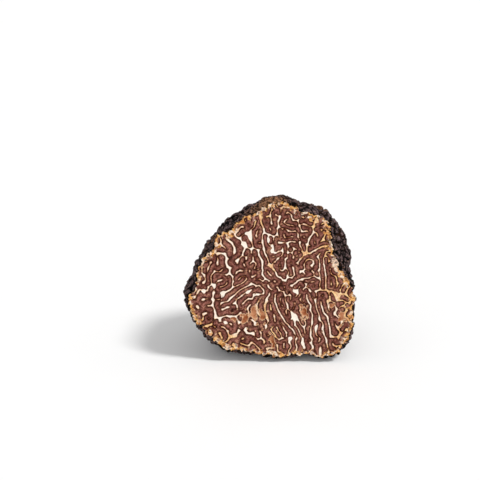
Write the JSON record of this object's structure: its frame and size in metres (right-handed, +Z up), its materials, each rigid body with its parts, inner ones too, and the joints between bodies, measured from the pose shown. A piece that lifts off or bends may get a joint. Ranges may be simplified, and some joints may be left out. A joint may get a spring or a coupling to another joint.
{
  "type": "black truffle half",
  "caption": "Half of a black truffle: a lobed, knobbly near-round body with one flat cut face that shows its marbled flesh, resting on a small flat spot.",
  "frame": {"origin": "on the resting surface, under the middle of the bounding box", "axes": "+Z up; the cut face looks towards -Y and leans back by 6 degrees; +X runs right along the cut, as seen by someone facing it"},
  "size_m": [0.056, 0.0388, 0.0526],
  "materials": {
    "truffle_skin": "matte"
  },
  "bodies": {
    "root": {"truffle_half": "truffle_skin"}
  },
  "joints": []
}
